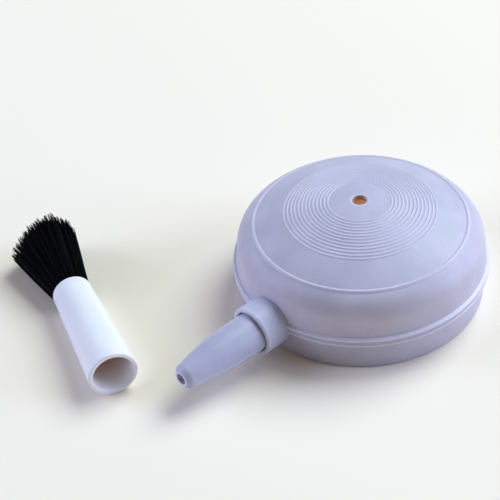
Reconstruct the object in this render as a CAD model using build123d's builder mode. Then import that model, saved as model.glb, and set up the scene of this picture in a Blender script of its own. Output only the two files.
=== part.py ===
from build123d import *
import os
from math import atan2, cos, pi, radians, sin, sqrt

# Dust blower bulb with its brush, in millimetres.
# The blower is a round soft-plastic bulb that stands on its flat base. The origin is the centre
# of the base, +Z is up, and the nozzle points along -X. The brush lies loose beside the blower.

# ---------------------------------------------------------------- bulb
body_radius = 31.75       # 2 1/2 in across the wall, at the shoulder
skirt_radius = 32.4       # the upper wall widens to this at the parting line
wall = 1.4                # moulded thickness of the shells
seam_z = 9.25             # height of the parting line between the two shells
crown_z = 27.7            # height of the top at the thumb hole
crown_radius = 60.0       # spherical radius of the domed top
shoulder_z = 14.7         # height where the wall starts to turn in
inlet_radius = 1.85       # thumb hole

bead_ring_radius = 27.3   # raised bead round the edge of the dome
bead_section = 0.55
bead_sink = 0.15          # how far the bead's centre lies under the surface
rib_reach = 33.05         # outside radius of the two seam ribs
rib_height = 1.2
rib_depth = 2.0
rib_round = 0.45

ring_count = 13           # fine concentric ridges on the dome
ring_first_radius = 8.05
ring_pitch = 0.936
ring_section = 0.3
ring_sink = 0.08          # how far a ridge's centre lies under the surface

pad_radius = 7.5          # stiff centre that the thumb presses
membrane_inner = 7.6      # the flexing part of the dome
membrane_outer = 26.2
membrane_gap = 0.02       # keeps the flexing part clear of the upper shell round it

# ---------------------------------------------------------------- base cup
foot_radius = 30.9        # flat underside
foot_round = 0.8
base_top_radius = 32.3
floor_thickness = 1.6
tongue_inner = 29.0       # raised tongue that locates the upper shell
tongue_rise = 1.8
tongue_drop = 2.5
tongue_gap = 0.05

# ---------------------------------------------------------------- socket collar and nozzle
axis_z = 8.3              # height of the nozzle's axis
collar_radius = 6.5
collar_mouth = 38.4       # distances along the nozzle's axis from the centre of the bulb
collar_root = 27.5
collar_edge = 0.45
collar_bore = 5.75
collar_bore_depth = 3.5
socket_radius = 4.6
notch_gap = 0.05          # clearance of the upper shell's notch round the collar

nozzle_radius = 5.1
nozzle_straight_end = 42.4
nozzle_shank_radius = 4.57
nozzle_shank_start = 28.0
nozzle_tip = 61.1
nozzle_shoulder_radius = 3.3   # where the taper ends and the rounded tip starts
nozzle_tip_length = 2.0
nozzle_face_radius = 1.95
nozzle_outlet_radius = 1.5
nozzle_outlet_length = 4.0
nozzle_bore_radius = 3.2

# ---------------------------------------------------------------- brush
brush_mouth_x = -70.4     # centre of the tube's open end
brush_mouth_y = 14.7
brush_heading = 70.6      # direction of the bristles, degrees from +X
tube_length = 34.8
tube_mouth_radius = 6.33
tube_end_radius = 5.16
tube_bore_radius = 5.15
tube_bore_length = 8.0
tube_seat_start = 24.8    # the seat that holds the bristle bundle
tube_seat_radius = 4.55
tube_edge = 0.35

plug_length = 4.0
fit_gap = 0.02            # clearance of the plug and the thread inside the seat
thread_start = 30.0
thread_width = 1.5
thread_inner = 4.35

tuft_rings = 3            # rings of tufts round the centre one
tuft_pitch = 0.8
tuft_root_radius = 0.37
tuft_tip_radius = 0.4
root_gap = 0.15           # between the glue and the leaning roots of the tufts
bristle_reach = 25.6      # free length beyond the end of the tube
fan_side = 8.7            # how far the outer tufts spread sideways at their tips
fan_height = 10.5         # how far they spread upwards
fan_lean = 0.95           # how far the worn brush leans to its left side
fan_skew = 1.95           # how far its upper tufts lean back to the right
fan_crown = 3.5           # how much shorter the outer tufts reach than the centre one
fan_power = 1.7           # between a diamond at 1 and an ellipse at 2
floor_gap = 0.7           # the lowest tips stay this far above the floor

os.makedirs("parts", exist_ok=True)

# ---------------------------------------------------------------- derived geometry
crown_centre_z = crown_z - crown_radius
inner_crown = crown_radius - wall
wall_inner = body_radius - wall

# The shoulder is the arc that is tangent to the vertical wall and to the dome.
centre_rise = shoulder_z - crown_centre_z
shoulder_radius = (crown_radius**2 - body_radius**2 - centre_rise**2) / (
    2 * (crown_radius - body_radius)
)
shoulder_centre = body_radius - shoulder_radius
shoulder_angle = atan2(centre_rise, shoulder_centre)


def crown_height(radius, sphere=crown_radius):
    """Height of the dome, or of its inner skin, at a distance from the axis."""
    return crown_centre_z + sqrt(sphere**2 - radius**2)


def shoulder_point(angle, inset=0.0):
    """A point of the shoulder arc, at an angle from horizontal and an inset from its outside."""
    reach = shoulder_radius - inset
    return (shoulder_centre + reach * cos(angle), shoulder_z + reach * sin(angle))


def crown_strip(inner, outer):
    """The section of the dome between two radii, as a face."""
    middle = (inner + outer) / 2
    with BuildLine() as outline:
        top = ThreePointArc(
            (inner, crown_height(inner)),
            (middle, crown_height(middle)),
            (outer, crown_height(outer)),
        )
        bottom = ThreePointArc(
            (inner, crown_height(inner, inner_crown)),
            (middle, crown_height(middle, inner_crown)),
            (outer, crown_height(outer, inner_crown)),
        )
        Line(top @ 0, bottom @ 0)
        Line(top @ 1, bottom @ 1)
    return make_face(outline.edges(), mode=Mode.PRIVATE)


def along_nozzle(distance):
    """The plane across the nozzle's axis at a distance from the centre, facing outwards."""
    return Plane(origin=(-distance, 0, axis_z), x_dir=(0, 1, 0), z_dir=(-1, 0, 0))


nozzle_section = Plane(origin=(0, 0, axis_z), x_dir=(-1, 0, 0), z_dir=(0, 1, 0))
nozzle_axis = Axis((0, 0, axis_z), (-1, 0, 0))

# The tapered tube lies on its side, so its axis slopes down towards the bristles.
heading = radians(brush_heading)
brush_slope = atan2(tube_mouth_radius - tube_end_radius, tube_length)
mouth_z = tube_mouth_radius * cos(brush_slope)
brush_mouth = (brush_mouth_x, brush_mouth_y, mouth_z)
brush_direction = (
    cos(brush_slope) * cos(heading),
    cos(brush_slope) * sin(heading),
    -sin(brush_slope),
)
brush_section = Plane(
    origin=brush_mouth, x_dir=brush_direction, z_dir=(sin(heading), -cos(heading), 0)
)
brush_axis = Axis(brush_mouth, brush_direction)

# ---------------------------------------------------------------- base_shell
with BuildPart() as base_shell:
    with BuildSketch(Plane.XZ):
        with BuildLine():
            Polyline(
                (0, 0),
                (foot_radius + foot_round, 0),
                (base_top_radius, seam_z),
                (wall_inner - tongue_gap, seam_z),
                (wall_inner - tongue_gap, seam_z + tongue_rise),
                (tongue_inner, seam_z + tongue_rise),
                (tongue_inner, seam_z - tongue_drop),
                (wall_inner, seam_z - tongue_drop - wall),
                (wall_inner, floor_thickness),
                (0, floor_thickness),
                close=True,
            )
        foot = make_face()
        fillet(foot.vertices().sort_by(Axis.Y)[:2].sort_by(Axis.X)[-1], radius=foot_round)
        with Locations((rib_reach - rib_depth / 2, seam_z - rib_height / 2)):
            RectangleRounded(rib_depth, rib_height, rib_round)
    revolve(axis=Axis.Z)
    with BuildSketch(along_nozzle(collar_root)):
        Circle(collar_radius)
    extrude(amount=collar_mouth - collar_root)
    mouth_edges = edges().filter_by(GeomType.CIRCLE).filter_by_position(
        Axis.X, -collar_mouth - 0.01, -collar_mouth + 0.01
    )
    fillet(mouth_edges, radius=collar_edge)
    with Locations(along_nozzle(collar_mouth)):
        CounterBoreHole(
            radius=socket_radius,
            counter_bore_radius=collar_bore,
            counter_bore_depth=collar_bore_depth,
            depth=collar_mouth - collar_root,
        )
base_shell.part.label = "base_shell"
export_step(base_shell.part, "parts/base_shell.step")

# ---------------------------------------------------------------- upper_shell
with BuildPart() as upper_shell:
    with BuildSketch(Plane.XZ):
        with BuildLine():
            outer_crown = ThreePointArc(
                (membrane_outer, crown_height(membrane_outer)),
                (bead_ring_radius, crown_height(bead_ring_radius)),
                shoulder_point(shoulder_angle),
            )
            outer_shoulder = ThreePointArc(
                outer_crown @ 1,
                shoulder_point(shoulder_angle / 2),
                (body_radius, shoulder_z),
            )
            foot_line = Polyline(
                outer_shoulder @ 1,
                (skirt_radius, seam_z),
                (wall_inner, seam_z),
                (wall_inner, shoulder_z),
            )
            inner_shoulder = ThreePointArc(
                foot_line @ 1,
                shoulder_point(shoulder_angle / 2, wall),
                shoulder_point(shoulder_angle, wall),
            )
            inner_skin = ThreePointArc(
                inner_shoulder @ 1,
                (bead_ring_radius - wall / 2, crown_height(bead_ring_radius - wall / 2, inner_crown)),
                (membrane_outer, crown_height(membrane_outer, inner_crown)),
            )
            Line(inner_skin @ 1, outer_crown @ 0)
        make_face()
        with Locations((bead_ring_radius, crown_height(bead_ring_radius) - bead_sink)):
            Circle(bead_section)
        with Locations((rib_reach - rib_depth / 2, seam_z + rib_height / 2)):
            RectangleRounded(rib_depth, rib_height, rib_round)
    revolve(axis=Axis.Z)
    with BuildSketch(along_nozzle(collar_root)):
        Circle(collar_radius + notch_gap)
    extrude(amount=collar_mouth - collar_root, mode=Mode.SUBTRACT)
upper_shell.part.label = "upper_shell"
export_step(upper_shell.part, "parts/upper_shell.step")

# ---------------------------------------------------------------- ringed_membrane
with BuildPart() as ringed_membrane:
    with BuildSketch(Plane.XZ):
        add(crown_strip(membrane_inner, membrane_outer - membrane_gap))
        for ring in range(ring_count):
            ring_radius = ring_first_radius + ring * ring_pitch
            with Locations((ring_radius, crown_height(ring_radius) - ring_sink)):
                Circle(ring_section)
    revolve(axis=Axis.Z)
ringed_membrane.part.label = "ringed_membrane"
export_step(ringed_membrane.part, "parts/ringed_membrane.step")

# ---------------------------------------------------------------- thumb_pad
with BuildPart() as thumb_pad:
    with BuildSketch(Plane.XZ):
        add(crown_strip(inlet_radius, pad_radius))
    revolve(axis=Axis.Z)
    inlet_edge = edges().filter_by(GeomType.CIRCLE).sort_by(Axis.Z)[-1]
    fillet(inlet_edge, radius=0.3)
thumb_pad.part.label = "thumb_pad"
export_step(thumb_pad.part, "parts/thumb_pad.step")

# ---------------------------------------------------------------- nozzle
with BuildPart() as nozzle:
    with BuildSketch(nozzle_section):
        with BuildLine():
            tip_start = nozzle_tip - nozzle_tip_length
            shank = Polyline(
                (nozzle_shank_start, nozzle_bore_radius),
                (nozzle_shank_start, nozzle_shank_radius),
                (collar_mouth - collar_bore_depth, nozzle_shank_radius),
                (collar_mouth - collar_bore_depth, nozzle_radius),
                (nozzle_straight_end, nozzle_radius),
            )
            taper = ThreePointArc(
                shank @ 1,
                (
                    (nozzle_straight_end + tip_start) / 2,
                    (nozzle_radius + nozzle_shoulder_radius) / 2 + 0.46,
                ),
                (tip_start, nozzle_shoulder_radius),
            )
            tip = ThreePointArc(
                taper @ 1,
                (nozzle_tip - 0.6, 2.75),
                (nozzle_tip, nozzle_face_radius),
            )
            Polyline(
                tip @ 1,
                (nozzle_tip, nozzle_outlet_radius),
                (nozzle_tip - nozzle_outlet_length, nozzle_outlet_radius),
                (nozzle_tip - 2 * nozzle_outlet_length, nozzle_bore_radius - 0.6),
                shank @ 0,
            )
        make_face()
    revolve(axis=nozzle_axis)
nozzle.part.label = "nozzle"
export_step(nozzle.part, "parts/nozzle.step")

# ---------------------------------------------------------------- brush_tube
with BuildPart() as brush_tube:
    with BuildSketch(brush_section):
        with BuildLine():
            Polyline(
                (0, tube_bore_radius),
                (0, tube_mouth_radius),
                (tube_length, tube_end_radius),
                (tube_length, tube_seat_radius),
                (tube_seat_start, tube_seat_radius),
                (tube_bore_length, tube_bore_radius),
                close=True,
            )
        section = make_face()
        mouth_corners = section.vertices().sort_by(Axis.X)[:2]
        fillet(mouth_corners, radius=tube_edge)
    revolve(axis=brush_axis)
brush_tube.part.label = "brush_tube"
export_step(brush_tube.part, "parts/brush_tube.step")

# ---------------------------------------------------------------- glue_plug
with BuildPart() as glue_plug:
    with BuildSketch(brush_section):
        with BuildLine():
            Polyline(
                (tube_seat_start, 0),
                (tube_seat_start, tube_seat_radius - fit_gap),
                (tube_seat_start + plug_length, tube_seat_radius - fit_gap),
                (tube_seat_start + plug_length, 0),
                close=True,
            )
        make_face()
    revolve(axis=brush_axis)
glue_plug.part.label = "glue_plug"
export_step(glue_plug.part, "parts/glue_plug.step")

# ---------------------------------------------------------------- binding_thread
with BuildPart() as binding_thread:
    with BuildSketch(brush_section):
        with BuildLine():
            Polyline(
                (thread_start, thread_inner),
                (thread_start, tube_seat_radius - fit_gap),
                (thread_start + thread_width, tube_seat_radius - fit_gap),
                (thread_start + thread_width, thread_inner),
                close=True,
            )
        make_face()
    revolve(axis=brush_axis)
binding_thread.part.label = "binding_thread"
export_step(binding_thread.part, "parts/binding_thread.step")

# ---------------------------------------------------------------- bristle_bundle
tuft_start = tube_seat_start + plug_length + root_gap
tip_distance = tube_length + bristle_reach
tip_axis_z = mouth_z - tip_distance * sin(brush_slope)
fan_depth = tip_axis_z - tuft_tip_radius - floor_gap

with BuildPart() as bristle_bundle:
    for ring in range(tuft_rings + 1):
        count = max(1, 6 * ring)
        root_reach = ring * tuft_pitch
        spread = ring / tuft_rings
        tip_along = tip_distance - fan_crown * spread**2
        for place in range(count):
            angle = 2 * pi * place / count
            swing, lift = cos(angle), sin(angle)
            fullness = (abs(swing) ** fan_power + abs(lift) ** fan_power) ** (-1 / fan_power)
            side = fan_side * swing * fullness - fan_lean + fan_skew * max(0, lift) * fullness
            rise = (fan_height if lift > 0 else fan_depth) * lift * fullness
            root = brush_section.from_local_coords(
                Vector(tuft_start, root_reach * lift, root_reach * swing)
            )
            tip = brush_section.from_local_coords(
                Vector(tip_along, rise * spread, side * spread)
            )
            with Locations(Plane(origin=root, z_dir=tip - root)):
                Cone(
                    bottom_radius=tuft_root_radius,
                    top_radius=tuft_tip_radius,
                    height=(tip - root).length,
                    align=(Align.CENTER, Align.CENTER, Align.MIN),
                )
bristle_bundle.part.label = "bristle_bundle"
export_step(bristle_bundle.part, "parts/bristle_bundle.step")
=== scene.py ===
"""Looks of the dust blower bulb and its loose brush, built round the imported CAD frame.

Lengths are written in millimetres, as in the CAD source, and turned into metres by MM. Only
the lights, the camera and the settings of the materials are in metres.
"""

import math
import random

import bpy
import numpy as np
from mathutils import Matrix, Vector


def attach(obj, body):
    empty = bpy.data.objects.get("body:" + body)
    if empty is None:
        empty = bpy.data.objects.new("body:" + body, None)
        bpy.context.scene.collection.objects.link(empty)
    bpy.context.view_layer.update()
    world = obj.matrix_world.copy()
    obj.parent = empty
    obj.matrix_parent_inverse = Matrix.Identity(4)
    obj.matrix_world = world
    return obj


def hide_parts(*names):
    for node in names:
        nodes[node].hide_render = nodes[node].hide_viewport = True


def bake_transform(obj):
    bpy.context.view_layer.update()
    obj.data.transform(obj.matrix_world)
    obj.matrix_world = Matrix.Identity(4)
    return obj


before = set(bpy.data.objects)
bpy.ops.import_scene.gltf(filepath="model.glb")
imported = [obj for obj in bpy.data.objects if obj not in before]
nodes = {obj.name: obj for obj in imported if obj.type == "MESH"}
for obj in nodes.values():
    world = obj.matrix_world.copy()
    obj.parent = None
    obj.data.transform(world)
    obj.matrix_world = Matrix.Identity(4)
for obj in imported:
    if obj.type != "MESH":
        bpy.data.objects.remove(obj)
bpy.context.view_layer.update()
MM = 0.001
scene = bpy.context.scene
scene.view_settings.view_transform = "Standard"

# ---------------------------------------------------------------- sizes
# The main sizes are the CAD's, but for the relief of the dome (lower here), the bore of the
# collar (narrower here) and the fan of the bristles (a little larger here). The CAD has no
# parting lines on the nozzle.
BODY_RADIUS = 31.75
SKIRT_RADIUS = 32.4       # the upper wall widens to this at the seam's band
WALL = 1.4
SEAM_Z = 9.25
CROWN_Z = 27.7
CROWN_RADIUS = 60.0
SHOULDER_Z = 14.7
HOLE_RADIUS = 1.85
HOLE_LIP = 0.3            # rounding of the hole's edge
BEAD_RADIUS = 27.3
BEAD_HEIGHT = 0.34
BEAD_HALF_WIDTH = 0.6
BEAD_MARGIN = 0.9         # the mesh is finer this far inside the bead
RIB_REACH = 33.05
RIB_HEIGHTS = (10.05, 8.42)
RIB_HALF_WIDTH = 0.48
BAND_REACH = 32.75        # the band that carries both ribs, and the groove between them
BAND_HALF_HEIGHT = 1.2
BAND_EDGE = 0.22
RING_COUNT = 13
RING_FIRST = 8.05
RING_PITCH = 0.936
RING_HEIGHT = 0.17
RING_HALF_WIDTH = 0.32
RING_MARGIN = 0.45        # the mesh is finer this far past the first and last ring

FOOT_RADIUS = 30.9
FOOT_ROUND = 0.8
BASE_TOP_RADIUS = 32.3
FLOOR_THICKNESS = 1.6
TONGUE_INNER = 29.0
TONGUE_RISE = 1.8
TONGUE_DROP = 2.5
TONGUE_GAP = 0.05
SEAM_SPLIT = 0.8          # the flat faces that meet at the seam are divided this far from the bore

AXIS_Z = 8.3
COLLAR_RADIUS = 6.5
COLLAR_MOUTH = 38.4
COLLAR_ROOT = 27.5
COLLAR_EDGE = 0.45
COLLAR_LIP = 0.12
COLLAR_OVERLAP = 0.3      # how far the collar reaches into the wall that it is joined to
COLLAR_BORE = 5.45
COLLAR_BORE_DEPTH = 3.5
COLLAR_FLOOR = COLLAR_MOUTH - COLLAR_BORE_DEPTH
SOCKET_RADIUS = 4.6
NOTCH_START = 26.0        # the notch round the collar is cut between these distances
NOTCH_END = 42.4
NOTCH_OVERLAP = 0.05      # the collar fills the notch with this much to spare

NOZZLE_RADIUS = 5.1
NOZZLE_STRAIGHT_END = 42.4
NOZZLE_SHANK_RADIUS = 4.57
NOZZLE_SHANK_START = 28.0
NOZZLE_TIP = 61.1
NOZZLE_TIP_LENGTH = 2.0
NOZZLE_SHOULDER = 3.3
NOZZLE_SWELL = 0.46       # how far the taper bulges beyond a straight cone
NOZZLE_ROUND = (0.6, 2.75)    # a point of the rounded tip: distance back, and radius
NOZZLE_FACE = 1.95
NOZZLE_OUTLET = 1.5
NOZZLE_OUTLET_LENGTH = 4.0
NOZZLE_LIP = 0.15
NOZZLE_CHAMFER = 0.1
NOZZLE_BORE = 3.2
NOZZLE_NECK = 2.6         # the bore narrows to this on its way to the outlet
PARTING = math.radians(-14)   # the mould's parting plane, turned a little from horizontal
PARTING_HEIGHT = 0.11
PARTING_HALF_WIDTH = 0.22
PARTING_SPAN = 0.09       # radians each side of a parting line where the mesh is finer

BRUSH_MOUTH = Vector((-70.4, 14.7, 6.3264))     # at this height the tapered tube lies flat
BRUSH_HEADING = math.radians(70.6)
TUBE_LENGTH = 34.8
TUBE_MOUTH_RADIUS = 6.33
TUBE_END_RADIUS = 5.16
TUBE_BORE_RADIUS = 5.15
TUBE_BORE_LENGTH = 8.0
SEAT_START = 24.8
LINING_DEPTH = 22.0       # the painted light and shade of the bore are set out along this depth
SEAT_RADIUS = 4.55
PLUG_LENGTH = 4.0
THREAD_START = 30.0
THREAD_WIDTH = 1.5
THREAD_INNER = 4.35
THREAD_STEPS = 56         # in one turn of the thread
FIT_GAP = 0.02
BRISTLE_REACH = 26.3
FAN_SIDE = 9.3
FAN_HEIGHT = 10.5
FAN_LEAN = -1.4
FAN_SKEW = 1.95
FAN_CROWN = 3.5
FAN_POWER = 1.7

CROWN_CENTRE = CROWN_Z - CROWN_RADIUS
CENTRE_RISE = SHOULDER_Z - CROWN_CENTRE
SHOULDER_RADIUS = (CROWN_RADIUS**2 - BODY_RADIUS**2 - CENTRE_RISE**2) / (
    2 * (CROWN_RADIUS - BODY_RADIUS)
)
SHOULDER_CENTRE = BODY_RADIUS - SHOULDER_RADIUS
SHOULDER_ANGLE = math.atan2(CENTRE_RISE, SHOULDER_CENTRE)
WALL_END = 18.0           # the bulb's walls get a painted warm bounce light up to this height
DOME_START = 22.5         # and not at all above this one

SLOPE = math.atan2(TUBE_MOUTH_RADIUS - TUBE_END_RADIUS, TUBE_LENGTH)
BRUSH_AXIS = Vector(
    (
        math.cos(SLOPE) * math.cos(BRUSH_HEADING),
        math.cos(SLOPE) * math.sin(BRUSH_HEADING),
        -math.sin(SLOPE),
    )
)
BRUSH_SIDE = Vector((math.sin(BRUSH_HEADING), -math.cos(BRUSH_HEADING), 0))
BRUSH_UP = BRUSH_SIDE.cross(BRUSH_AXIS)


# ---------------------------------------------------------------- mesh helpers
SHARP_ANGLE = 35          # edges that turn by more degrees than this stay hard
BULB_STEPS = 320          # steps round the two mouldings of the bulb
ROUND_STEPS = 128         # steps round everything smaller


def new_object(name, points, faces, smooth_angle=SHARP_ANGLE):
    """A mesh object from points in millimetres, shaded smooth except at edges over an angle."""
    mesh = bpy.data.meshes.new(name)
    mesh.from_pydata([tuple(c * MM for c in p) for p in points], [], faces)
    mesh.validate()
    mesh.shade_smooth()
    mesh.set_sharp_from_angle(angle=math.radians(smooth_angle))
    made = bpy.data.objects.new(name, mesh)
    scene.collection.objects.link(made)
    return made


def turned(profile, turns, origin=(0, 0, 0), axis=(0, 0, 1), side=(1, 0, 0)):
    """Points and faces of a closed profile of (radius, along) turned about an axis.

    turns is a number of equal steps, or the angles themselves.
    """
    if isinstance(turns, int):
        turns = np.linspace(0, 2 * math.pi, turns, endpoint=False)
    origin, axis, side = Vector(origin), Vector(axis).normalized(), Vector(side).normalized()
    other = axis.cross(side)
    spokes = [side * math.cos(turn) + other * math.sin(turn) for turn in turns]
    points, rows = [], []
    for radius, along in profile:
        centre = origin + axis * along
        if radius < 1e-6:
            rows.append([len(points)] * len(spokes))
            points.append(centre)
            continue
        rows.append(list(range(len(points), len(points) + len(spokes))))
        points += [centre + spoke * radius for spoke in spokes]
    faces = []
    for here, there in zip(rows, rows[1:] + rows[:1]):
        for k in range(len(spokes)):
            n = (k + 1) % len(spokes)
            corners = list(dict.fromkeys([here[k], here[n], there[n], there[k]]))
            if len(corners) > 2:
                faces.append(corners)
    return points, faces


def arc(centre, radius, start, end, steps):
    """Points of an arc, angles in degrees."""
    turns = np.radians(np.linspace(start, end, steps))
    return [(centre[0] + radius * math.cos(t), centre[1] + radius * math.sin(t)) for t in turns]


def arc_through(first, middle, last, steps):
    """Points of the arc through three points, without its first."""
    (ax, ay), (bx, by), (cx, cy) = first, middle, last
    d = 2 * (ax * (by - cy) + bx * (cy - ay) + cx * (ay - by))
    a2, b2, c2 = ax * ax + ay * ay, bx * bx + by * by, cx * cx + cy * cy
    ux = (a2 * (by - cy) + b2 * (cy - ay) + c2 * (ay - by)) / d
    uy = (a2 * (cx - bx) + b2 * (ax - cx) + c2 * (bx - ax)) / d
    radius = math.hypot(ax - ux, ay - uy)
    start = math.atan2(ay - uy, ax - ux)
    sweep = (math.atan2(cy - uy, cx - ux) - start + math.pi) % (2 * math.pi) - math.pi
    return arc((ux, uy), radius, math.degrees(start), math.degrees(start + sweep), steps)[1:]


def swell(distance, half_width):
    """A smooth bump, 1 in the middle and 0 at half_width."""
    if abs(distance) >= half_width:
        return 0.0
    return math.cos(math.pi / 2 * distance / half_width) ** 2


def with_boolean(obj, tool, operation):
    """Joins the tool to obj, or cuts it out, for good."""
    modifier = obj.modifiers.new("boolean", "BOOLEAN")
    modifier.operation = operation
    modifier.solver = "EXACT"
    modifier.object = tool
    bpy.context.view_layer.update()
    evaluated = obj.evaluated_get(bpy.context.evaluated_depsgraph_get())
    made = bpy.data.meshes.new_from_object(evaluated)
    obj.modifiers.remove(modifier)
    obj.data = made
    bpy.data.objects.remove(tool)


NOZZLE_FRAME = {"origin": (0, 0, AXIS_Z), "axis": (-1, 0, 0), "side": (0, -1, 0)}


def rod(name, radius, start, end):
    """A plain cylinder along the nozzle's axis, to cut with."""
    profile = [(0, end), (radius, end), (radius, start), (0, start)]
    return new_object(name, *turned(profile, ROUND_STEPS, **NOZZLE_FRAME))


def mark_inside(obj, is_inside, slot=1):
    """Gives a material slot to the faces whose centre, in millimetres, is inside."""
    for face in obj.data.polygons:
        if is_inside(*(face.center / MM)):
            face.material_index = slot


# ---------------------------------------------------------------- upper moulding
def crown(radius, sphere=CROWN_RADIUS):
    """Height of the plain dome at a radius."""
    return CROWN_CENTRE + math.sqrt(sphere**2 - radius**2)


def top_height(radius):
    """Height of the ringed top at a radius."""
    height = crown(radius)
    for ring in range(RING_COUNT):
        height += RING_HEIGHT * swell(radius - RING_FIRST - ring * RING_PITCH, RING_HALF_WIDTH)
    height += BEAD_HEIGHT * swell(radius - BEAD_RADIUS, BEAD_HALF_WIDTH)
    return height


def band_reach(height, wall_radius):
    """Outside radius at a height of the wall, with the seam's band and its two ribs."""
    edge = (BAND_HALF_HEIGHT - abs(height - SEAM_Z)) / BAND_EDGE
    step = max(0.0, min(1.0, edge))
    radius = wall_radius + (BAND_REACH - wall_radius) * step * step * (3 - 2 * step)
    return radius + (RIB_REACH - BAND_REACH) * sum(
        swell(height - rib, RIB_HALF_WIDTH) for rib in RIB_HEIGHTS
    )


def skirt_radius(height):
    """Outside radius of the upper wall, which widens towards the seam."""
    drop = max(0.0, min(1.0, (SHOULDER_Z - height) / (SHOULDER_Z - SEAM_Z)))
    return BODY_RADIUS + (SKIRT_RADIUS - BODY_RADIUS) * drop ** 1.5


def upper_profile():
    """Section of the upper moulding, from the thumb hole over the dome and back inside."""
    dome_end = SHOULDER_CENTRE + SHOULDER_RADIUS * math.cos(SHOULDER_ANGLE)
    lip_end = HOLE_RADIUS + HOLE_LIP
    ring_start = RING_FIRST - RING_MARGIN
    ring_end = RING_FIRST + (RING_COUNT - 1) * RING_PITCH + RING_MARGIN
    bead_start = BEAD_RADIUS - BEAD_MARGIN
    line = [
        (lip_end - HOLE_LIP * math.cos(t), crown(lip_end) - HOLE_LIP + HOLE_LIP * math.sin(t))
        for t in np.radians([0, 22, 45, 67, 88])
    ]
    stations = np.concatenate(
        [
            np.linspace(lip_end, ring_start, 12)[1:],
            np.linspace(ring_start, ring_end, 133)[1:],
            np.linspace(ring_end, bead_start, 12)[1:],
            np.linspace(bead_start, dome_end, 20)[1:],
        ]
    )
    line += [(r, top_height(r)) for r in stations]
    line += arc(
        (SHOULDER_CENTRE, SHOULDER_Z), SHOULDER_RADIUS, math.degrees(SHOULDER_ANGLE), 0, 22
    )[1:]
    band_top = SEAM_Z + BAND_HALF_HEIGHT
    heights = np.concatenate(
        [
            np.linspace(SHOULDER_Z, band_top + 0.3, 12)[1:],
            np.linspace(band_top + 0.3, band_top, 4)[1:],
            np.linspace(band_top, SEAM_Z, 44)[1:],
        ]
    )
    line += [(band_reach(z, skirt_radius(z)), z) for z in heights]
    inner = BODY_RADIUS - WALL
    line += [(inner + SEAM_SPLIT, SEAM_Z), (inner, SEAM_Z)]
    line += [(inner, SEAM_Z + 2.5), (inner, SHOULDER_Z)]
    line += arc(
        (SHOULDER_CENTRE, SHOULDER_Z), SHOULDER_RADIUS - WALL, 0, math.degrees(SHOULDER_ANGLE), 12
    )[1:]
    inner_end = SHOULDER_CENTRE + (SHOULDER_RADIUS - WALL) * math.cos(SHOULDER_ANGLE)
    line += [
        (r, crown(r, CROWN_RADIUS - WALL)) for r in np.linspace(inner_end, HOLE_RADIUS, 26)[1:]
    ]
    return line


bulb_top = new_object("bulb_top", *turned(upper_profile(), BULB_STEPS))
notch = rod("notch", COLLAR_RADIUS - NOTCH_OVERLAP, NOTCH_START, NOTCH_END)
with_boolean(bulb_top, notch, "DIFFERENCE")
bulb_top.data.set_sharp_from_angle(angle=math.radians(SHARP_ANGLE))
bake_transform(bulb_top)
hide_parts("upper_shell", "ringed_membrane", "thumb_pad")


# ---------------------------------------------------------------- base with its collar
def base_profile():
    """Section of the base cup, from its underside up the outside and back down inside."""
    inner = BODY_RADIUS - WALL
    band_low = SEAM_Z - BAND_HALF_HEIGHT
    line = [(0, 0), (FOOT_RADIUS * 0.5, 0), (FOOT_RADIUS * 0.9, 0)]
    line += arc((FOOT_RADIUS, FOOT_ROUND), FOOT_ROUND, -90, 0, 10)
    draft = (BASE_TOP_RADIUS - FOOT_RADIUS - FOOT_ROUND) / SEAM_Z
    heights = np.concatenate(
        [np.linspace(FOOT_ROUND, band_low, 8)[1:], np.linspace(band_low, SEAM_Z, 44)[1:]]
    )
    line += [(band_reach(z, FOOT_RADIUS + FOOT_ROUND + draft * z), z) for z in heights]
    line += [
        (inner + SEAM_SPLIT, SEAM_Z),
        (inner - TONGUE_GAP, SEAM_Z),
        (inner - TONGUE_GAP, SEAM_Z + TONGUE_RISE),
        (TONGUE_INNER, SEAM_Z + TONGUE_RISE),
        (TONGUE_INNER, SEAM_Z - TONGUE_DROP),
        (inner, SEAM_Z - TONGUE_DROP - WALL),
        (inner, FLOOR_THICKNESS),
        (inner * 0.5, FLOOR_THICKNESS),
        (0, FLOOR_THICKNESS),
    ]
    return line


def collar_profile():
    """Section of the collar, up its outside and down its counterbore."""
    edge_start = COLLAR_MOUTH - COLLAR_EDGE
    line = [(SOCKET_RADIUS, COLLAR_ROOT), (COLLAR_RADIUS, COLLAR_ROOT)]
    line += [(COLLAR_RADIUS, along) for along in np.linspace(COLLAR_ROOT, edge_start, 12)[1:-1]]
    line += arc((COLLAR_RADIUS - COLLAR_EDGE, edge_start), COLLAR_EDGE, 0, 90, 8)
    line += arc((COLLAR_BORE + COLLAR_LIP, COLLAR_MOUTH - COLLAR_LIP), COLLAR_LIP, 90, 180, 5)
    line += [(COLLAR_BORE, COLLAR_FLOOR), (SOCKET_RADIUS, COLLAR_FLOOR)]
    return line


bulb_base = new_object("bulb_base", *turned(base_profile(), BULB_STEPS))
opening = rod("opening", COLLAR_RADIUS - COLLAR_OVERLAP, COLLAR_ROOT - 1, COLLAR_MOUTH)
with_boolean(bulb_base, opening, "DIFFERENCE")
collar = new_object("collar", *turned(collar_profile(), ROUND_STEPS, **NOZZLE_FRAME))
with_boolean(bulb_base, collar, "UNION")
bulb_base.data.set_sharp_from_angle(angle=math.radians(SHARP_ANGLE))
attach(bulb_base, "housing")
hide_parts("base_shell")


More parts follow.
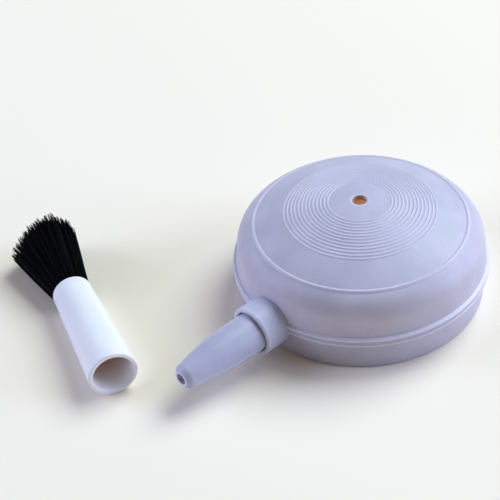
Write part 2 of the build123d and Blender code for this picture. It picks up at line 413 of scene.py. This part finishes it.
# ---------------------------------------------------------------- nozzle
def nozzle_profile():
    """Section of the nozzle, from its shank over the taper and the tip into the outlet."""
    shoulder = (NOZZLE_TIP - NOZZLE_TIP_LENGTH, NOZZLE_SHOULDER)
    taper_start = (NOZZLE_STRAIGHT_END, NOZZLE_RADIUS)
    taper_middle = (
        (taper_start[0] + shoulder[0]) / 2,
        (taper_start[1] + shoulder[1]) / 2 + NOZZLE_SWELL,
    )
    round_back, round_radius = NOZZLE_ROUND
    line = [
        (NOZZLE_SHANK_START, NOZZLE_BORE),
        (NOZZLE_SHANK_START, NOZZLE_SHANK_RADIUS),
        (COLLAR_FLOOR, NOZZLE_SHANK_RADIUS),
        (COLLAR_FLOOR, NOZZLE_RADIUS - NOZZLE_CHAMFER),
        (COLLAR_FLOOR + NOZZLE_CHAMFER, NOZZLE_RADIUS),
    ]
    straight = np.linspace(COLLAR_FLOOR, NOZZLE_STRAIGHT_END, 8)[1:]
    line += [(along, NOZZLE_RADIUS) for along in straight]
    line += arc_through(taper_start, taper_middle, shoulder, 24)
    line += arc_through(
        shoulder, (NOZZLE_TIP - round_back, round_radius), (NOZZLE_TIP, NOZZLE_FACE), 10
    )
    line += arc((NOZZLE_TIP - NOZZLE_LIP, NOZZLE_OUTLET + NOZZLE_LIP), NOZZLE_LIP, 0, -90, 5)
    line += [
        (NOZZLE_TIP - NOZZLE_OUTLET_LENGTH, NOZZLE_OUTLET),
        (NOZZLE_TIP - 2 * NOZZLE_OUTLET_LENGTH, NOZZLE_NECK),
    ]
    return [(radius, along) for along, radius in line]


def raise_parting_lines(obj):
    """Raises the fine ridge that the mould leaves along both sides of the nozzle."""
    for vertex in obj.data.vertices:
        out = Vector((0, vertex.co.y / MM, vertex.co.z / MM - AXIS_Z))
        if out.length > NOZZLE_BORE and -vertex.co.x / MM > COLLAR_FLOOR + 2 * NOZZLE_CHAMFER:
            turn = math.atan2(out.z, -out.y) - PARTING
            away = out.length * math.asin(math.sin(turn))
            vertex.co += out.normalized() * PARTING_HEIGHT * swell(away, PARTING_HALF_WIDTH) * MM
    obj.data.set_sharp_from_angle(angle=math.radians(SHARP_ANGLE))


fine = np.linspace(-PARTING_SPAN, PARTING_SPAN, 13)
coarse = np.linspace(PARTING_SPAN, math.pi - PARTING_SPAN, 48)[1:-1]
nozzle_turns = np.concatenate([fine, coarse, fine + math.pi, coarse + math.pi]) + PARTING
nozzle = new_object("nozzle_tip", *turned(nozzle_profile(), nozzle_turns, **NOZZLE_FRAME))
raise_parting_lines(nozzle)
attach(nozzle, "nozzle")
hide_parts("nozzle")

# ---------------------------------------------------------------- brush tube, thread and glue
BRUSH_FRAME = {"origin": BRUSH_MOUTH, "axis": BRUSH_AXIS, "side": BRUSH_SIDE}


def tube_profile():
    """Section of the tube, round its mouth, down the taper and back up the seat and the bore."""
    rim, end_rim = 0.35, 0.12
    middle = (TUBE_MOUTH_RADIUS + TUBE_BORE_RADIUS) / 2
    line = arc((TUBE_BORE_RADIUS + rim, rim), rim, 180, 270, 7)
    line += [(middle, 0)]
    line += arc((TUBE_MOUTH_RADIUS - rim, rim), rim, 270, 360, 7)
    taper = (TUBE_MOUTH_RADIUS - TUBE_END_RADIUS) / TUBE_LENGTH
    line += [(TUBE_MOUTH_RADIUS - taper * s, s) for s in np.linspace(1, TUBE_LENGTH - end_rim, 24)]
    line += arc((TUBE_END_RADIUS - end_rim, TUBE_LENGTH - end_rim), end_rim, 0, 90, 4)[1:]
    line += arc((SEAT_RADIUS + end_rim, TUBE_LENGTH - end_rim), end_rim, 90, 180, 4)
    line += zip(
        np.linspace(SEAT_RADIUS, TUBE_BORE_RADIUS, 12),
        np.linspace(SEAT_START, TUBE_BORE_LENGTH, 12),
    )
    return line


sleeve = new_object("brush_sleeve", *turned(tube_profile(), ROUND_STEPS, **BRUSH_FRAME))
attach(sleeve, "brush")
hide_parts("brush_tube")


def wound_thread():
    """One thread wound side by side round the roots of the bristles."""
    radius = (SEAT_RADIUS - FIT_GAP - THREAD_INNER) / 2
    winds = int(THREAD_WIDTH / (2 * radius))
    steps, sides = THREAD_STEPS * winds, 6
    points, faces = [], []
    for step in range(steps + 1):
        turn = 2 * math.pi * step * winds / steps
        along = THREAD_START + radius + (THREAD_WIDTH - 2 * radius) * step / steps
        spoke = BRUSH_SIDE * math.cos(turn) + BRUSH_UP * math.sin(turn)
        for k in range(sides):
            a = 2 * math.pi * k / sides
            points.append(
                BRUSH_MOUTH
                + BRUSH_AXIS * (along + radius * math.sin(a))
                + spoke * (THREAD_INNER + radius + radius * math.cos(a))
            )
    for step in range(steps):
        for k in range(sides):
            n = (k + 1) % sides
            low = sides * step
            faces.append((low + k, low + n, low + sides + n, low + sides + k))
    faces.append(tuple(range(sides))[::-1])
    faces.append(tuple(sides * steps + k for k in range(sides)))
    return points, faces


thread = new_object("wound_thread", *wound_thread(), smooth_angle=75)
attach(thread, "brush")
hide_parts("binding_thread")

# ---------------------------------------------------------------- bristles
random.seed(5)
GOLDEN_TURN = 2.399963
TUFT_COUNT = 360
HAIRS_PER_TUFT = 10
ROOT_REACH = 3.3          # radius of the bundle at its roots
ROOT_SPREAD = 0.3         # radius of one tuft at its root
TIP_SPREAD = 0.38         # and at its tip
STRAY_SPREAD = 2.6        # how much further a stray hair stands off
STRAY_SHARE = 0.05
TUFT_POINT = 1.1          # how much shorter the outer hairs of a tuft are
ROOT_SPLAY = 1.1          # how much the bundle spreads at its roots
END_SPLAY = 1.21          # at the end of the tube
FREE_SPLAY = 1.375        # and past it, where the fan takes over
ROOT_GAP = 0.15           # between the glue and the roots
HAIR_PLACES = (0.06, 0.25, 0.5, 0.8, 1)       # shares of a hair's free length
TIP_THINNING = 0.75
FLOOR_CLEARANCE = 0.25
TIP_CLEARANCE = 0.3       # the lowest tips of the fan stay this much higher


def fan_tip(turn, spread, end):
    """Sideways and upwards reach of a tip of the fan, flattened where it meets the floor."""
    swing, lift = math.cos(turn), math.sin(turn)
    fullness = (abs(swing) ** FAN_POWER + abs(lift) ** FAN_POWER) ** (-1 / FAN_POWER)
    depth = BRUSH_MOUTH.z + BRUSH_AXIS.z * end - FLOOR_CLEARANCE - TIP_CLEARANCE
    side = FAN_SIDE * swing * fullness + FAN_LEAN + FAN_SKEW * max(0, lift) * fullness
    rise = (FAN_HEIGHT if lift > 0 else depth) * lift * fullness
    return side * spread, rise * spread


def hair(points, faces, root, tip, start, end, thick, bow, bow_turn):
    """One bristle from (side, rise) root to tip, straight in the tube and spreading outside it."""
    stations = [start, TUBE_LENGTH]
    stations += [TUBE_LENGTH + (end - TUBE_LENGTH) * place for place in HAIR_PLACES]
    first = len(points)
    for along in stations:
        out = max(0.0, (along - TUBE_LENGTH) / (end - TUBE_LENGTH))
        wave = math.sin(math.pi * out) * bow
        inside_splay = ROOT_SPLAY if along == start else END_SPLAY
        splay = FREE_SPLAY if out > 0 else inside_splay
        side = root[0] * splay * (1 - out) + tip[0] * out + wave * math.cos(bow_turn)
        rise = root[1] * splay * (1 - out) + tip[1] * out + wave * math.sin(bow_turn)
        centre = BRUSH_MOUTH + BRUSH_AXIS * along + BRUSH_SIDE * side + BRUSH_UP * rise
        centre.z = max(centre.z, FLOOR_CLEARANCE)
        radius = thick * (1 - TIP_THINNING * out**6)
        for corner in range(3):
            a = bow_turn + 2 * math.pi * corner / 3
            points.append(centre + (BRUSH_SIDE * math.cos(a) + BRUSH_UP * math.sin(a)) * radius)
    for step in range(len(stations) - 1):
        low = first + 3 * step
        for corner in range(3):
            n = (corner + 1) % 3
            faces.append((low + corner, low + n, low + 3 + n, low + 3 + corner))
    faces.append((first + 2, first + 1, first))
    last = len(points) - 3
    faces.append((last, last + 1, last + 2))


def bristle_bundle():
    """Hairs that gather into small pointed tufts as they fan out."""
    points, faces = [], []
    start = SEAT_START + PLUG_LENGTH + ROOT_GAP
    axis_end = TUBE_LENGTH + BRISTLE_REACH
    for tuft in range(TUFT_COUNT):
        spread = math.sqrt((tuft + 0.6) / TUFT_COUNT)
        turn = tuft * GOLDEN_TURN
        tuft_end = axis_end - FAN_CROWN * spread**2 + random.uniform(-0.7, 0.5)
        tip = fan_tip(turn, spread * random.uniform(0.96, 1.03), tuft_end)
        root = (ROOT_REACH * spread * math.cos(turn), ROOT_REACH * spread * math.sin(turn))
        for _ in range(HAIRS_PER_TUFT):
            apart = math.sqrt(random.random())
            where = random.uniform(0, 2 * math.pi)
            stray = STRAY_SPREAD if random.random() < STRAY_SHARE else 1.0
            root_off = ROOT_SPREAD * apart
            tip_off = TIP_SPREAD * apart * stray
            hair_root = (root[0] + root_off * math.cos(where), root[1] + root_off * math.sin(where))
            hair_tip = (tip[0] + tip_off * math.cos(where), tip[1] + tip_off * math.sin(where))
            end = tuft_end - TUFT_POINT * apart + random.uniform(-0.2, 0.2)
            thick = random.uniform(0.13, 0.17)
            hair(
                points, faces, hair_root, hair_tip, start, end, thick,
                random.uniform(0, 0.3), random.uniform(0, 2 * math.pi),
            )
    return points, faces


bristles = new_object("bristles", *bristle_bundle(), smooth_angle=180)
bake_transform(bristles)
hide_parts("bristle_bundle")


# ---------------------------------------------------------------- materials
def material(name, base, roughness):
    """A new material with its node tree and its shader."""
    made = bpy.data.materials.new(name)
    made.use_nodes = True
    tree = made.node_tree
    shader = tree.nodes["Principled BSDF"]
    shader.inputs["Base Color"].default_value = (*base, 1)
    shader.inputs["Roughness"].default_value = roughness
    return made, tree, shader


def object_noise(tree, scale, detail=2.0, roughness=0.5):
    """Noise in the part's own frame; scale is in waves per metre."""
    coordinates = tree.nodes.new("ShaderNodeTexCoord")
    noise = tree.nodes.new("ShaderNodeTexNoise")
    noise.inputs["Scale"].default_value = scale
    noise.inputs["Detail"].default_value = detail
    noise.inputs["Roughness"].default_value = roughness
    tree.links.new(coordinates.outputs["Object"], noise.inputs["Vector"])
    return noise.outputs["Fac"]


def ramp(tree, factor, stops):
    """A colour read from stops of (place, colour)."""
    node = tree.nodes.new("ShaderNodeValToRGB")
    elements = node.color_ramp.elements
    while len(elements) < len(stops):
        elements.new(0.5)
    for element, (place, colour) in zip(elements, stops):
        element.position = place
        element.color = (*colour, 1)
    tree.links.new(factor, node.inputs["Fac"])
    return node.outputs["Color"]


def bump(tree, shader, height, strength, distance):
    """Relief on the whole surface; distance is in metres."""
    node = tree.nodes.new("ShaderNodeBump")
    node.inputs["Strength"].default_value = strength
    node.inputs["Distance"].default_value = distance
    tree.links.new(height, node.inputs["Height"])
    tree.links.new(node.outputs["Normal"], shader.inputs["Normal"])


def blended(tree, amount, low, high):
    """A colour between two others; the amount and either colour may be sockets."""
    mix = tree.nodes.new("ShaderNodeMix")
    mix.data_type = "RGBA"
    factor, first, second, result = mix.inputs[0], mix.inputs[6], mix.inputs[7], mix.outputs[2]
    for socket, value in ((factor, amount), (first, low), (second, high)):
        if isinstance(value, bpy.types.NodeSocket):
            tree.links.new(value, socket)
        else:
            socket.default_value = (*value, 1)
    return result


def stored_value(tree, name):
    """A value stored on the mesh's points, 0 where the mesh has none."""
    attribute = tree.nodes.new("ShaderNodeAttribute")
    attribute.attribute_name = name
    return attribute.outputs["Fac"]


def remapped(tree, value, low, high):
    """A value in 0..1 spread over low..high."""
    spread = tree.nodes.new("ShaderNodeMapRange")
    spread.inputs["To Min"].default_value = low
    spread.inputs["To Max"].default_value = high
    tree.links.new(value, spread.inputs["Value"])
    return spread.outputs["Result"]


def toned(colour, tone):
    """A colour multiplied by another."""
    return tuple(part * share for part, share in zip(colour, tone))


def moulded_plastic(name, low, high, speck_and_highlight_colour, roughness, bounce_tone=(1, 1, 1)):
    """Cloudy soft plastic with pale specks, a painted highlight on its raised lines and a painted
    warm bounce light on its walls.
    """
    made, tree, shader = material(name, high, roughness)
    shader.inputs["Subsurface Weight"].default_value = 0.2
    shader.inputs["Subsurface Radius"].default_value = (1.0, 0.62, 0.4)
    shader.inputs["Subsurface Scale"].default_value = 0.0016
    haze = object_noise(tree, 90, detail=4, roughness=0.6)
    plain_clouds = ramp(tree, haze, [(0.35, low), (0.65, high)])
    # The walls get a warmer copy of the colours: painted warm bounce light.
    bounce_clouds = ramp(tree, haze, [(0.35, toned(low, bounce_tone)), (0.65, toned(high, bounce_tone))])
    clouds = blended(tree, stored_value(tree, "wall"), plain_clouds, bounce_clouds)
    fine_grain = object_noise(tree, 1500, detail=2, roughness=0.7)
    specks = remapped(tree, fine_grain, -0.03, 0.13)
    mottled = blended(tree, specks, clouds, speck_and_highlight_colour)
    # Painted highlight on the raised lines.
    colour = blended(tree, stored_value(tree, "crest_highlight"), mottled, speck_and_highlight_colour)
    tree.links.new(colour, shader.inputs["Base Color"])
    patches = object_noise(tree, 260, detail=5, roughness=0.65)
    wear = remapped(tree, patches, roughness - 0.1, roughness + 0.1)
    tree.links.new(wear, shader.inputs["Roughness"])
    texture = object_noise(tree, 900, detail=3, roughness=0.6)
    bump(tree, shader, texture, strength=0.25, distance=0.00012)
    return made


BULB_SPECK_AND_HIGHLIGHT = (0.76, 0.74, 0.88)
# The bulb's walls are painted a little warmer: painted bounce light.
bulb_plastic = moulded_plastic(
    "bulb_plastic",
    (0.48, 0.47, 0.6),
    (0.54, 0.525, 0.67),
    BULB_SPECK_AND_HIGHLIGHT,
    0.47,
    bounce_tone=(1.02, 0.975, 0.925),
)
# The collar is moulded with the base cup; this paler, bluer copy of the plastic is painted light.
collar_plastic_painted_light = moulded_plastic(
    "collar_plastic_painted_light", (0.495, 0.505, 0.685), (0.565, 0.575, 0.775), BULB_SPECK_AND_HIGHLIGHT, 0.47
)
# Darker and greyer than the upper moulding: painted shade on the lower wall.
base_plastic_painted_shade = moulded_plastic(
    "base_plastic_painted_shade", (0.43, 0.41, 0.51), (0.5, 0.48, 0.6), BULB_SPECK_AND_HIGHLIGHT, 0.5
)
nozzle_plastic = moulded_plastic(
    "nozzle_plastic", (0.41, 0.42, 0.57), (0.48, 0.485, 0.65), (0.66, 0.64, 0.78), 0.42
)
tube_plastic = moulded_plastic(
    "tube_plastic", (0.85, 0.86, 0.96), (0.89, 0.9, 0.985), (0.93, 0.92, 0.98), 0.32
)


def cloudy(name, roughness, scale, stops, detail=2.0):
    """A material whose colour wanders between the stops; also its tree, shader and colour."""
    made, tree, shader = material(name, stops[0][1], roughness)
    colour = ramp(tree, object_noise(tree, scale, detail), stops)
    tree.links.new(colour, shader.inputs["Base Color"])
    return made, tree, shader, colour


recess_shade, _, _, _ = cloudy(
    "recess_shade", 0.6, 400, [(0.3, (0.8, 0.65, 0.61)), (0.7, (0.92, 0.76, 0.72))]
)
hole_shade, _, _, _ = cloudy(
    "hole_shade", 0.6, 600, [(0.3, (0.5, 0.33, 0.26)), (0.7, (0.62, 0.45, 0.37))]
)

# The air chamber is painted warm brown and glows a little: painted light, for the light that comes
# through the thin plastic.
bulb_inside_painted_light, lining_tree, lining, lining_colour = cloudy(
    "bulb_inside_painted_light", 0.6, 500, [(0.3, (0.48, 0.29, 0.17)), (0.7, (0.66, 0.42, 0.26))]
)
lining_tree.links.new(lining_colour, lining.inputs["Emission Color"])
lining.inputs["Emission Strength"].default_value = 0.3

bristle_black, _, bristle_shader, _ = cloudy(
    "bristle_black", 0.7, 700, [(0.4, (0.001, 0.001, 0.002)), (0.75, (0.004, 0.004, 0.006))]
)
bristle_shader.inputs["Specular IOR Level"].default_value = 0.06

glue_amber, glue_tree, glue_shader, _ = cloudy(
    "glue_amber", 0.35, 350, [(0.35, (0.3, 0.19, 0.1)), (0.65, (0.5, 0.36, 0.22))], detail=3
)
bump(glue_tree, glue_shader, object_noise(glue_tree, 500), strength=0.5, distance=0.0003)

thread_wax, thread_tree, thread_shader, _ = cloudy(
    "thread_wax", 0.7, 2500, [(0.35, (0.42, 0.34, 0.24)), (0.65, (0.6, 0.52, 0.4))], detail=3
)
bump(thread_tree, thread_shader, object_noise(thread_tree, 4000), strength=0.6, distance=0.00005)


def tube_bore_light_and_shade():
    """The tube's bore, with painted light and shade: white and glowing bluish at the mouth,
    browner, darker and dimly glowing towards the glue.
    """
    made, tree, shader = material("tube_inside_light_and_shade", (0.5, 0.4, 0.32), 0.55)
    place = tree.nodes.new("ShaderNodeTexCoord")
    along = tree.nodes.new("ShaderNodeVectorMath")
    along.operation = "DOT_PRODUCT"
    along.inputs[1].default_value = BRUSH_AXIS
    tree.links.new(place.outputs["Object"], along.inputs[0])
    mouth = BRUSH_AXIS.dot(BRUSH_MOUTH)
    depth = tree.nodes.new("ShaderNodeMapRange")
    depth.inputs["From Min"].default_value = mouth * MM
    depth.inputs["From Max"].default_value = (mouth + LINING_DEPTH) * MM
    tree.links.new(along.outputs["Value"], depth.inputs["Value"])
    bore_shade = ramp(
        tree,
        depth.outputs["Result"],
        [(0.0, (0.92, 0.93, 1.0)), (0.2, (0.68, 0.64, 0.66)), (0.6, (0.42, 0.25, 0.13))],
    )
    glow = ramp(
        tree,
        depth.outputs["Result"],
        [(0.0, (0.6, 0.68, 0.9)), (0.25, (0.32, 0.28, 0.29)), (0.7, (0.22, 0.11, 0.04))],
    )
    tree.links.new(bore_shade, shader.inputs["Base Color"])
    tree.links.new(glow, shader.inputs["Emission Color"])
    shader.inputs["Emission Strength"].default_value = 0.14
    return made


tube_inside_light_and_shade = tube_bore_light_and_shade()


def paint(obj, *materials):
    """Gives an object these materials, the first of them all over."""
    obj.data.materials.clear()
    for each in materials:
        obj.data.materials.append(each)


TOUCH = 0.02              # how near its surface a point still counts as on it


def under_dome(x, y, z):
    """Inside the upper moulding."""
    radius = math.hypot(x, y)
    below = math.hypot(radius, z - CROWN_CENTRE) < CROWN_RADIUS - WALL + TOUCH
    return below and radius < BODY_RADIUS - WALL + TOUCH


def in_hole(x, y, z):
    """On the wall of the thumb hole."""
    return math.hypot(x, y) < HOLE_RADIUS + 0.1 and z > CROWN_Z - WALL - 0.1


def in_cup(x, y, z):
    """Inside the base cup, short of the collar's root."""
    within = math.hypot(x, y) < BODY_RADIUS - WALL + TOUCH
    return within and z > FLOOR_THICKNESS - TOUCH and x > 0.5 - COLLAR_ROOT


def in_sleeve(x, y, z):
    """On the bore of the brush tube."""
    off = Vector((x, y, z)) - BRUSH_MOUTH
    along = off.dot(BRUSH_AXIS)
    away = (off - BRUSH_AXIS * along).length
    return 0.3 < along < TUBE_LENGTH - 0.2 and away < TUBE_BORE_RADIUS + 0.005


def on_collar(x, y, z):
    """On the collar that holds the nozzle."""
    return -x > COLLAR_ROOT and math.hypot(y, z - AXIS_Z) < COLLAR_RADIUS + TOUCH


def in_recess(x, y, z):
    """In the groove between the collar and the nozzle."""
    away = math.hypot(y, z - AXIS_Z)
    return COLLAR_ROOT < -x < COLLAR_MOUTH - 0.25 and away < COLLAR_BORE + 0.05


def store(obj, name, value_at):
    """Stores a value from 0 to 1 on each vertex, from its place in millimetres."""
    stored = obj.data.attributes.new(name, "FLOAT", "POINT")
    for vertex, mark in zip(obj.data.vertices, stored.data):
        mark.value = max(0.0, min(1.0, value_at(*(vertex.co / MM))))


def bounce_share(x, y, z):
    """How much painted warm bounce light a point gets: 1 on the wall, fading to 0 on the dome."""
    return (DOME_START - z) / (DOME_START - WALL_END)


# How much painted highlight, in the paler colour, each raised line gets.
RING_HIGHLIGHT = 0.5
BEAD_HIGHLIGHT = 0.4
LIP_HIGHLIGHT = 0.4
RIB_HIGHLIGHT = 0.85
BAND_HIGHLIGHT = 0.5
COLLAR_HIGHLIGHT = 0.35
PARTING_HIGHLIGHT = 0.85


def ring_highlight(radius):
    """Painted highlight on the rings of the dome."""
    return sum(
        swell(radius - RING_FIRST - ring * RING_PITCH, RING_HALF_WIDTH)
        for ring in range(RING_COUNT)
    )


def bulb_highlight(x, y, z):
    """Painted highlight on the rings, the bead, the hole's lip, the seam's band and the rim of the
    collar.
    """
    radius = math.hypot(x, y)
    if on_collar(x, y, z):
        return COLLAR_HIGHLIGHT if -x > COLLAR_MOUTH - 0.6 else 0.0
    if abs(z - SEAM_Z) < BAND_HALF_HEIGHT + 0.3 and radius > BODY_RADIUS - 0.3:
        ribs = sum(swell(z - rib, RIB_HALF_WIDTH + 0.1) for rib in RIB_HEIGHTS)
        return RIB_HIGHLIGHT * ribs + BAND_HIGHLIGHT * swell(z - SEAM_Z - BAND_HALF_HEIGHT, 0.3)
    if HOLE_RADIUS < radius < BEAD_RADIUS + BEAD_HALF_WIDTH and z > crown(radius) - 0.3:
        bead = swell(radius - BEAD_RADIUS, BEAD_HALF_WIDTH)
        lip = swell(radius - HOLE_RADIUS - HOLE_LIP, 0.7)
        return RING_HIGHLIGHT * ring_highlight(radius) + BEAD_HIGHLIGHT * bead + LIP_HIGHLIGHT * lip
    return 0.0


def nozzle_highlight(x, y, z):
    """Painted highlight on the parting lines and on the rim of the outlet."""
    away = math.hypot(y, z - AXIS_Z)
    turn = math.atan2(z - AXIS_Z, -y) - PARTING
    across = away * math.asin(math.sin(turn))
    line = swell(across, PARTING_HALF_WIDTH) if away > NOZZLE_BORE + 0.1 else 0.0
    rim = swell(-x - NOZZLE_TIP, 0.25) if away < NOZZLE_FACE + 0.1 else 0.0
    return max(PARTING_HIGHLIGHT * line, rim)


paint(bulb_top, bulb_plastic, bulb_inside_painted_light, hole_shade)
mark_inside(bulb_top, under_dome)
mark_inside(bulb_top, in_hole, 2)
store(bulb_top, "crest_highlight", bulb_highlight)
store(bulb_top, "wall", bounce_share)
paint(bulb_base, base_plastic_painted_shade, bulb_inside_painted_light, recess_shade, collar_plastic_painted_light)
mark_inside(bulb_base, in_cup)
mark_inside(bulb_base, on_collar, 3)
mark_inside(bulb_base, in_recess, 2)
store(bulb_base, "crest_highlight", bulb_highlight)
paint(sleeve, tube_plastic, tube_inside_light_and_shade)
mark_inside(sleeve, in_sleeve)
paint(nozzle, nozzle_plastic)
store(nozzle, "crest_highlight", nozzle_highlight)
paint(thread, thread_wax)
paint(bristles, bristle_black)
nodes["glue_plug"].material_slots[0].material = glue_amber

# ---------------------------------------------------------------- floor, lights and camera
FLOOR_REACH = 900
corners = [(x * FLOOR_REACH, y * FLOOR_REACH, 0) for x, y in ((-1, -1), (1, -1), (1, 1), (-1, 1))]
floor = new_object("floor", corners, [(0, 1, 2, 3)])
floor_paint, _, _ = material("floor_paint", (0.98, 0.9, 0.77), 0.9)
paint(floor, floor_paint)

# The camera sees a pale backdrop, and everything else gets a dim warm fill.
world = bpy.data.worlds.new("world")
scene.world = world
world.use_nodes = True
sky = world.node_tree
warm_fill = sky.nodes["Background"]
warm_fill.inputs["Color"].default_value = (1.0, 0.85, 0.6, 1)
warm_fill.inputs["Strength"].default_value = 0.13
backdrop = sky.nodes.new("ShaderNodeBackground")
backdrop.inputs["Color"].default_value = (0.93, 0.94, 0.97, 1)
sight = sky.nodes.new("ShaderNodeLightPath")
choice = sky.nodes.new("ShaderNodeMixShader")
sky.links.new(sight.outputs["Is Camera Ray"], choice.inputs["Fac"])
sky.links.new(warm_fill.outputs["Background"], choice.inputs[1])
sky.links.new(backdrop.outputs["Background"], choice.inputs[2])
sky.links.new(choice.outputs["Shader"], sky.nodes["World Output"].inputs["Surface"])

LIGHT_SIZE = 1.4          # metres across


def area_light(name, position, power, colour):
    """A round soft light that shines on the origin, its power in watts."""
    data = bpy.data.lights.new(name, "AREA")
    data.shape = "DISK"
    data.size = LIGHT_SIZE
    data.energy = power
    data.color = colour
    lamp = bpy.data.objects.new(name, data)
    lamp.location = position
    lamp.rotation_euler = (-Vector(position)).to_track_quat("-Z", "Y").to_euler()
    scene.collection.objects.link(lamp)


area_light("key", (1.286, 0, 1.532), 33, (0.87, 1.0, 1.04))
area_light("right_side", (1.311, -1.311, 0.749), 20.5, (0.88, 1.0, 1.5))
area_light("left_side", (-1.311, 1.311, 0.749), 18.6, (0.87, 0.98, 1.45))

CAMERA_PLACE = Vector((-0.19522, -0.19619, 0.24532))
HEADING = math.radians(51.04)
PITCH = 0.698
ROLL = -0.086
forward = Vector(
    (math.cos(HEADING) * math.cos(PITCH), math.sin(HEADING) * math.cos(PITCH), -math.sin(PITCH))
)
level_right = Vector((math.sin(HEADING), -math.cos(HEADING), 0))
level_up = level_right.cross(forward)
right = level_right * math.cos(ROLL) + level_up * math.sin(ROLL)
up = level_up * math.cos(ROLL) - level_right * math.sin(ROLL)
camera_data = bpy.data.cameras.new("camera")
camera_data.sensor_width = 36
camera_data.lens = 100.8
camera_data.clip_start = 0.01
camera = bpy.data.objects.new("camera", camera_data)
turned_to = Matrix((right, up, -forward)).transposed().to_4x4()
camera.matrix_world = Matrix.Translation(CAMERA_PLACE) @ turned_to
scene.collection.objects.link(camera)
scene.camera = camera
